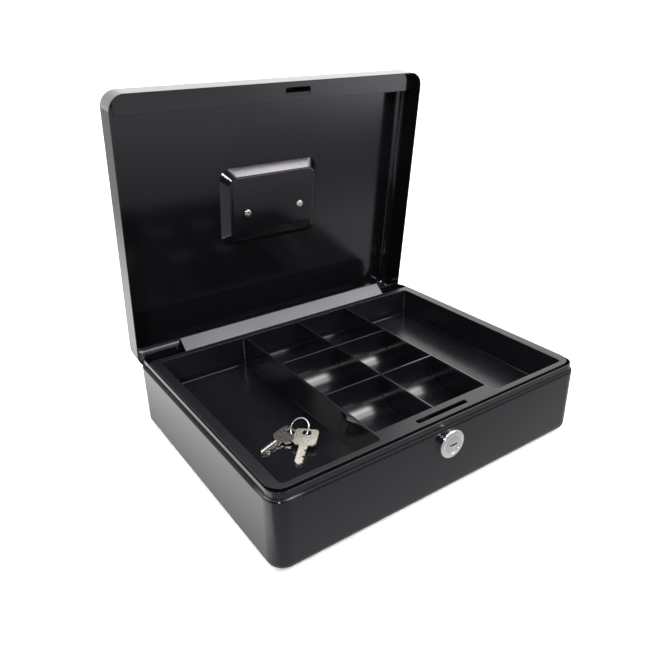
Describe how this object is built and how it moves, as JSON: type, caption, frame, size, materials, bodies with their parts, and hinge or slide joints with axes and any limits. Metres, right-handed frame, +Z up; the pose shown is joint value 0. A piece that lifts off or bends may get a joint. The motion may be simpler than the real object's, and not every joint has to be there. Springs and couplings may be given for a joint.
{
  "type": "lockable cash box with coin tray",
  "caption": "Lockable steel cash box with a hinged lid, folding carry handle, lift-out coin and note tray, cam lock and keys on a ring.",
  "frame": {"origin": "middle of the flat underside of the base", "axes": "+X to the right seen from the lock, +Y to the hinge at the back, +Z up"},
  "size_m": [0.3, 0.2674, 0.286],
  "materials": {
    "black_paint": "smooth semi-gloss black paint on sheet steel",
    "hinge_paint": "semi-gloss black paint on folded strip",
    "tray_plastic": "black moulded plastic, soft gloss",
    "chrome_plate": "polished chrome plate on zinc",
    "zinc_steel": "bright zinc-plated steel",
    "wafer_brass": "plain brass strip",
    "key_nickel": "nickel-plated, slightly warm",
    "ring_steel": "nickel-plated spring wire"
  },
  "bodies": {
    "base": {"base_shell": "black_paint", "tray_rest_left": "black_paint", "tray_rest_right": "black_paint", "hinge_base_leaf": "hinge_paint", "hinge_rod": "zinc_steel", "lock_housing": "chrome_plate", "lock_nut": "zinc_steel"},
    "lid": {"lid_shell": "black_paint", "latch_strip": "black_paint", "hinge_lid_leaf": "hinge_paint", "handle_mounts": "black_paint", "handle_screws": "zinc_steel", "handle_pins": "zinc_steel"},
    "handle": {"handle_bail": "black_paint"},
    "lock_core": {"lock_plug": "chrome_plate", "lock_wafers": "wafer_brass", "lock_cam": "zinc_steel", "cam_screw": "zinc_steel"},
    "tray": {"coin_tray": "tray_plastic"},
    "keys": {"key_a": "key_nickel", "key_b": "key_nickel", "key_ring": "ring_steel"}
  },
  "joints": [
    {"name": "lid_hinge", "type": "hinge", "parent": "base", "child": "lid", "pos_m": [0, 0.1128, 0.054], "axis": [-1, 0, 0], "range_deg": [-83.6, 0]},
    {"name": "handle_fold", "type": "hinge", "parent": "lid", "child": "handle", "pos_m": [0, 0.12836, 0.17187], "axis": [-1, 0, 0], "range_deg": [0, 90]},
    {"name": "lock_turn", "type": "hinge", "parent": "base", "child": "lock_core", "pos_m": [0, -0.11, 0.0453], "axis": [0, 1, 0], "range_deg": [-90, 0]},
    {"name": "tray_lift", "type": "slide", "parent": "base", "child": "tray", "axis": [0, 0, 1], "range_m": [0, 0.06]},
    {"name": "keys_lift", "type": "slide", "parent": "tray", "child": "keys", "axis": [0, 0, 1], "range_m": [0, 0.03]}
  ]
}
